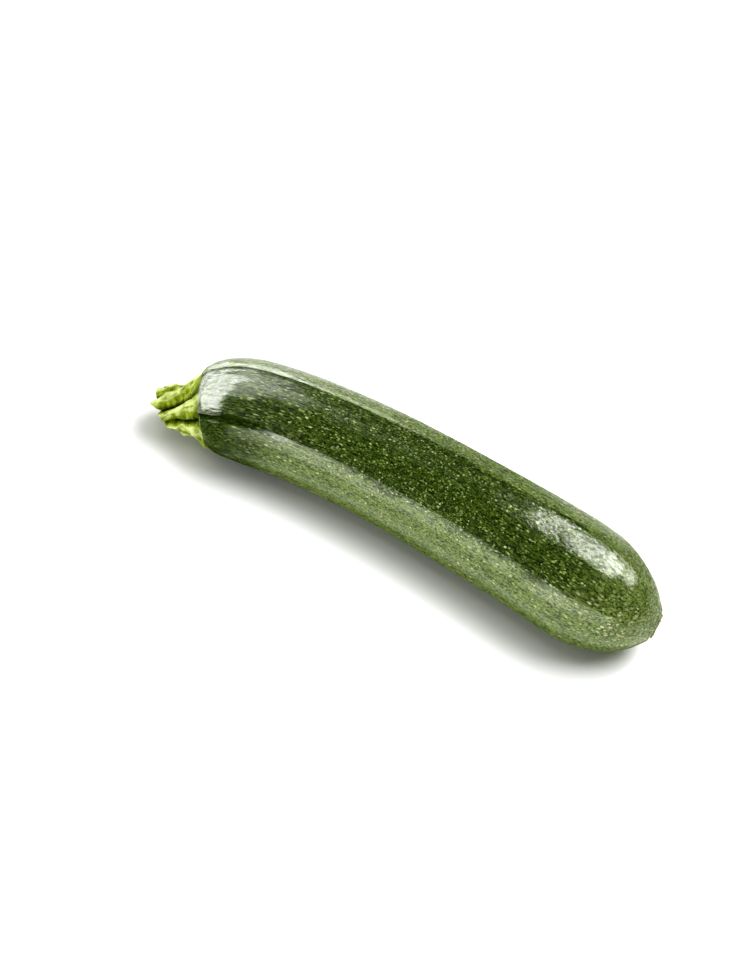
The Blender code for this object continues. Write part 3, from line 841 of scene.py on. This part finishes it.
# place, aimed at, width and height, brightness, and what it lights: "gloss" lamps are only seen mirrored,
# "matt" and "part" lamps never are, and "floor" and "part" lamps light nothing else
lights = {
    "floorKey": ((0.45, 0.42, 1.10), (0.0, 0.0, 0.0), (0.80, 0.60), 9.5, "floor"),
    "overhead": ((0.0, 0.2, 1.4), (0.0, 0.0, 0.0), (1.2, 1.2), 1.7, "matt"),
    "topGlow": ((-0.1, 0.68, 0.98), (0.0, 0.0, 0.0), (1.4, 0.9), 0.32, "gloss"),
    "frontCard": ((-0.16, -0.95, 0.185), (-0.16, 0.0, 0.185), (0.24, 0.37), 3.3, "gloss"),
    "frontEnd": ((0.53, -0.95, 0.185), (0.53, 0.0, 0.185), (1.14, 0.37), 2.2, "gloss"),
    "frontFill": ((-0.10, -0.80, 0.60), (0.0, 0.0, 0.02), (1.6, 0.7), 1.55, "part"),
    "backCard": ((-0.95, 1.10, 0.22), (-0.4, 0.0, 0.22), (1.1, 0.44), 3.4, "gloss"),
    "leftCard": ((-1.0, 0.0, 0.45), (0.0, 0.0, 0.0), (1.2, 0.5), 2.0, "part"),
    "softbox": ((0.082, 0.142, 0.229), (0.082, -0.016, 0.041), (0.184, 0.133), 8.8, "gloss"),
    "softEnd": ((0.184, 0.212, 0.171), (0.184, 0.054, -0.017), (0.160, 0.160), 7.2, "gloss"),
    "leftBox": ((-0.576, -0.225, 0.280), (-0.164, -0.225, -0.069), (1.10, 0.54), 3.8, "gloss"),
    "lowBox": ((-0.17, 0.02, 0.018), (-0.08, 0.02, 0.018), (0.13, 0.036), 1.8, "gloss"),
    "haloBack": ((-0.486, 0.485, 0.387), (-0.074, 0.485, 0.038), (0.32, 0.28), 1.4, "gloss"),
    "haloTop": ((-0.334, 0.155, 0.566), (0.078, 0.155, 0.217), (0.58, 0.21), 1.15, "gloss"),
    "backFill": ((0.2, 0.95, 0.60), (0.05, 0.0, 0.02), (1.6, 0.6), 1.75, "part"),
    "rightFill": ((1.0, -0.1, 0.5), (0.05, 0.0, 0.02), (1.0, 0.5), 0.5, "part"),
    "floorFill": ((-0.7, -0.55, 0.6), (-0.05, 0.0, 0.0), (1.2, 0.7), 1.1, "floor"),
}


def makeFloor():
    half = studio["floorSize"] / 2.0
    corners = [(-half, -half, 0.0), (half, -half, 0.0), (half, half, 0.0), (-half, half, 0.0)]
    mesh = bpy.data.meshes.new("floor")
    mesh.from_pydata(corners, [], [(0, 1, 2, 3)])
    paint = Paint("paleFloor", Roughness=studio["floorRoughness"], Specular_IOR_Level=0.0)
    paint.finish(Base_Color=studio["floorColour"])
    mesh.materials.append(paint.material)
    floor = bpy.data.objects.new("floor", mesh)
    bpy.context.scene.collection.objects.link(floor)
    return floor


def aimed(thing, place, aim):  # looks along its own -Z from its place to what it is aimed at
    thing.location = place
    thing.rotation_euler = (Vector(aim) - Vector(place)).to_track_quat("-Z", "Y").to_euler()
    bpy.context.scene.collection.objects.link(thing)


def makeLights(floor, pieces):
    world = bpy.data.worlds.new("studioAir")
    world.use_nodes = True
    world.node_tree.nodes["Background"].inputs["Color"].default_value = (1.0, 1.0, 1.0, 1.0)
    world.node_tree.nodes["Background"].inputs["Strength"].default_value = studio["world"]
    bpy.context.scene.world = world
    lit = {"floor": bpy.data.collections.new("floorOnly"), "part": bpy.data.collections.new("partOnly")}
    lit["floor"].objects.link(floor)
    for piece in pieces:
        lit["part"].objects.link(piece)
    for name, (place, aim, size, glow, use) in lights.items():
        data = bpy.data.lights.new(name, "AREA")
        data.shape = "RECTANGLE"
        data.size, data.size_y = size
        data.energy = glow * math.pi * size[0] * size[1]  # watts, so that glow is how bright the lamp looks
        lamp = bpy.data.objects.new(name, data)
        lamp.visible_glossy = use not in ("matt", "part")
        lamp.visible_diffuse = use != "gloss"
        lamp.visible_camera = False
        if use in lit:
            lamp.light_linking.receiver_collection = lit[use]
        aimed(lamp, place, aim)
    print(f"studio: {len(lights)} soft lights")


def makeCamera():
    data = bpy.data.cameras.new("camera")
    data.lens, data.sensor_width = studio["lens"], studio["filmWidth"]
    camera = bpy.data.objects.new("camera", data)
    a, e = math.radians(studio["azimuth"]), math.radians(studio["elevation"])
    back = Vector((math.sin(a) * math.cos(e), -math.cos(a) * math.cos(e), math.sin(e)))
    target = Vector(studio["target"])
    aimed(camera, target + back * studio["distance"], target)
    scene = bpy.context.scene
    scene.camera = camera
    scene.view_settings.view_transform = "Standard"
    scene.view_settings.look = studio["contrast"]
    print("studio: camera")


fruit, shift = makeFruit()
stalk = makeStalk(shift)
scar = makeScar(shift)
makeLights(makeFloor(), (fruit, stalk, scar))
makeCamera()
